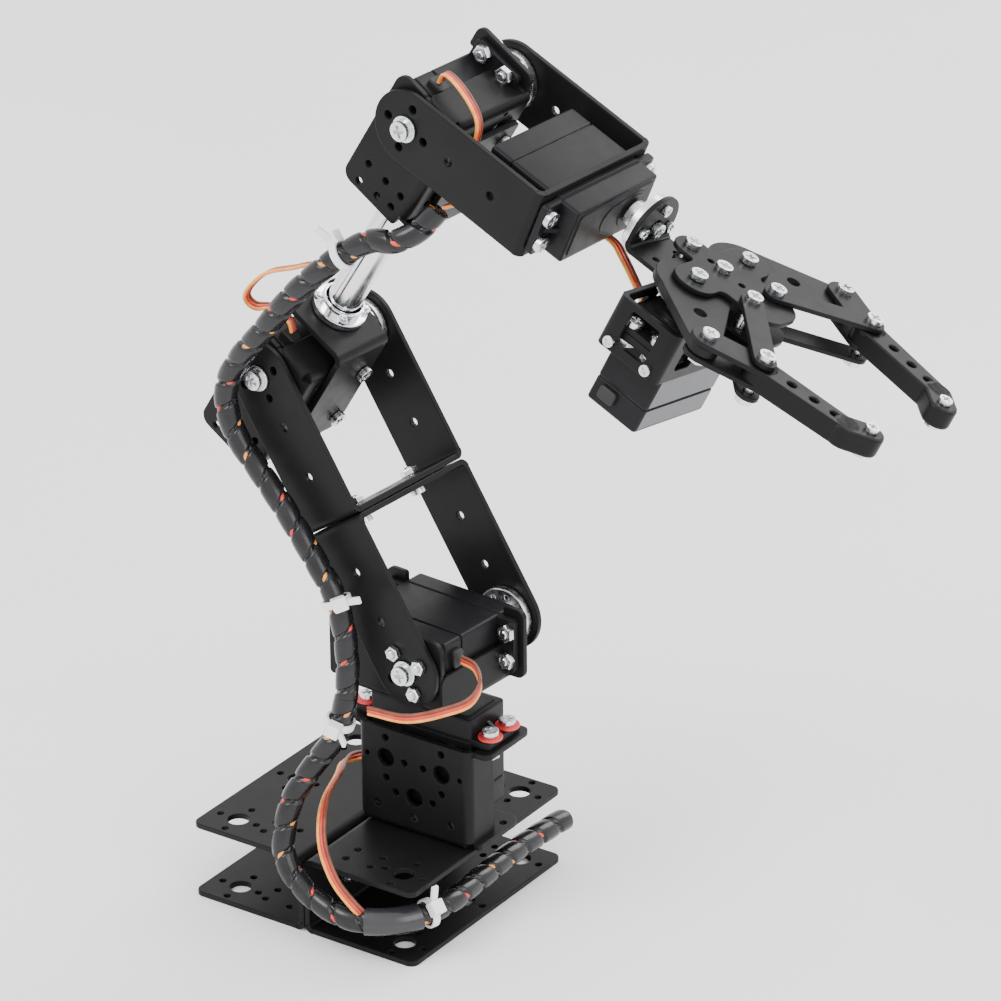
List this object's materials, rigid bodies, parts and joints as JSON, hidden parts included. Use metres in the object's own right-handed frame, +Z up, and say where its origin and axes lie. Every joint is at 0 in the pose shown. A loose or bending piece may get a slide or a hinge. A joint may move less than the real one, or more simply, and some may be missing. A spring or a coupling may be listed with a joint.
{
  "type": "desktop robot arm",
  "caption": "Bolted bracket servo arm on a channel base with a waist, shoulder, elbow, wrist and roll joint and a geared two-finger gripper.",
  "frame": {"origin": "on the ground, under the middle of the base", "axes": "+Z up, +X along the base towards the side that the arm reaches, +Y along the hinge axes to within 4 degrees"},
  "size_m": [0.2623, 0.1028, 0.312],
  "materials": {
    "black_plate": "satin black coating",
    "servo_plastic": "moulded black plastic, fine texture",
    "steel": "bright zinc and machined",
    "polished_aluminium": "polished",
    "cable_sleeve": "spiral wrap",
    "servo_lead": "three-wire ribbon, orange, red and brown"
  },
  "bodies": {
    "base": {"base_channel_left": "black_plate", "base_channel_right": "black_plate", "base_bolt_front": "steel", "base_bolt_rear": "steel", "waist_foot_bolt_1": "steel", "waist_foot_bolt_2": "steel", "waist_bracket": "black_plate", "waist_servo": "servo_plastic", "cable_base": "cable_sleeve", "waist_lead": "servo_lead"},
    "turntable": {"waist_horn": "steel", "shoulder_bracket": "black_plate", "shoulder_servo": "servo_plastic", "shoulder_bearing": "steel", "cable_waist": "cable_sleeve", "cable_shoulder": "cable_sleeve", "shoulder_lead": "servo_lead"},
    "upper_arm": {"upper_arm_lower_bracket": "black_plate", "upper_arm_upper_bracket": "black_plate", "upper_arm_bolt_1": "steel", "upper_arm_bolt_2": "steel", "shoulder_horn": "steel", "shoulder_pivot_bolt": "steel", "elbow_horn": "steel", "elbow_pivot_bolt": "steel", "cable_upper_arm": "cable_sleeve", "cable_elbow": "cable_sleeve"},
    "forearm": {"elbow_bracket": "black_plate", "elbow_servo": "servo_plastic", "elbow_bearing": "steel", "forearm_lower_angle": "black_plate", "forearm_upper_angle": "black_plate", "forearm_lower_flange": "polished_aluminium", "forearm_upper_flange": "polished_aluminium", "forearm_tube": "polished_aluminium", "wrist_bracket": "black_plate", "wrist_servo": "servo_plastic", "wrist_bearing": "steel", "cable_forearm": "cable_sleeve", "elbow_lead": "servo_lead", "wrist_lead": "servo_lead"},
    "hand": {"hand_bracket": "black_plate", "wrist_horn": "steel", "wrist_pivot_bolt": "steel", "roll_servo": "servo_plastic", "hand_lead": "servo_lead"},
    "gripper": {"roll_horn": "steel", "gripper_base": "black_plate", "gripper_top_plate": "black_plate", "gripper_servo": "servo_plastic", "gripper_servo_frame": "black_plate", "gripper_idler_screw": "steel", "gripper_lead": "servo_lead"},
    "drive_link_left": {"gear_link_left": "black_plate", "gripper_horn": "steel"},
    "drive_link_right": {"gear_link_right": "black_plate"},
    "guide_link_left": {"inner_link_left": "black_plate"},
    "guide_link_right": {"inner_link_right": "black_plate"},
    "finger_left": {"finger_left": "black_plate"},
    "finger_right": {"finger_right": "black_plate"}
  },
  "joints": [
    {"name": "base_yaw", "type": "hinge", "parent": "base", "child": "turntable", "pos_m": [0.012, 0.00345, 0.0283], "axis": [0, 0, 1], "range_deg": [-90, 90], "deforming": ["cable_waist"]},
    {"name": "shoulder", "type": "hinge", "parent": "turntable", "child": "upper_arm", "pos_m": [0.03327, 0.00091, 0.0988], "axis": [0.0722, 0.9974, 0], "range_deg": [-30, 40], "deforming": ["cable_shoulder"]},
    {"name": "elbow", "type": "hinge", "parent": "upper_arm", "child": "forearm", "pos_m": [-0.02642, 0.00523, 0.18786], "axis": [0.0722, 0.9974, 0], "range_deg": [-45, 25], "deforming": ["cable_elbow"]},
    {"name": "wrist_pitch", "type": "hinge", "parent": "forearm", "child": "hand", "pos_m": [0.03725, 0.00062, 0.29042], "axis": [0.0722, 0.9974, 0], "range_deg": [-60, 20], "deforming": ["hand_lead"]},
    {"name": "wrist_roll", "type": "hinge", "parent": "hand", "child": "gripper", "pos_m": [0.09296, 0.00691, 0.26668], "axis": [0.916, -0.0663, -0.3955], "range_deg": [-90, 90], "deforming": ["gripper_lead"]},
    {"name": "gripper_drive", "type": "hinge", "parent": "gripper", "child": "drive_link_left", "pos_m": [0.13058, -0.01057, 0.25309], "axis": [0.401, 0.1623, 0.9016], "range_deg": [-18, 28]},
    {"name": "gear_right", "type": "hinge", "parent": "gripper", "child": "drive_link_right", "pos_m": [0.13045, 0.01896, 0.24784], "axis": [0.401, 0.1623, 0.9016], "range_deg": [-28, 18]},
    {"name": "guide_left", "type": "hinge", "parent": "gripper", "child": "guide_link_left", "pos_m": [0.14566, -0.00379, 0.24517], "axis": [0.401, 0.1623, 0.9016], "range_deg": [-18, 28]},
    {"name": "guide_right", "type": "hinge", "parent": "gripper", "child": "guide_link_right", "pos_m": [0.1456, 0.00999, 0.24271], "axis": [0.401, 0.1623, 0.9016], "range_deg": [-28, 18]},
    {"name": "finger_pivot_left", "type": "hinge", "parent": "drive_link_left", "child": "finger_left", "pos_m": [0.15176, -0.0372, 0.24847], "axis": [0.401, 0.1623, 0.9016], "range_deg": [-28, 18]},
    {"name": "finger_pivot_right", "type": "hinge", "parent": "drive_link_right", "child": "finger_right", "pos_m": [0.15141, 0.04254, 0.23427], "axis": [0.401, 0.1623, 0.9016], "range_deg": [-18, 28]}
  ],
  "couplings": [
    {"joint": "gear_right", "follows": "gripper_drive", "ratio": -1},
    {"joint": "guide_left", "follows": "gripper_drive", "ratio": 1},
    {"joint": "guide_right", "follows": "gripper_drive", "ratio": -1},
    {"joint": "finger_pivot_left", "follows": "gripper_drive", "ratio": -1},
    {"joint": "finger_pivot_right", "follows": "gripper_drive", "ratio": 1}
  ]
}
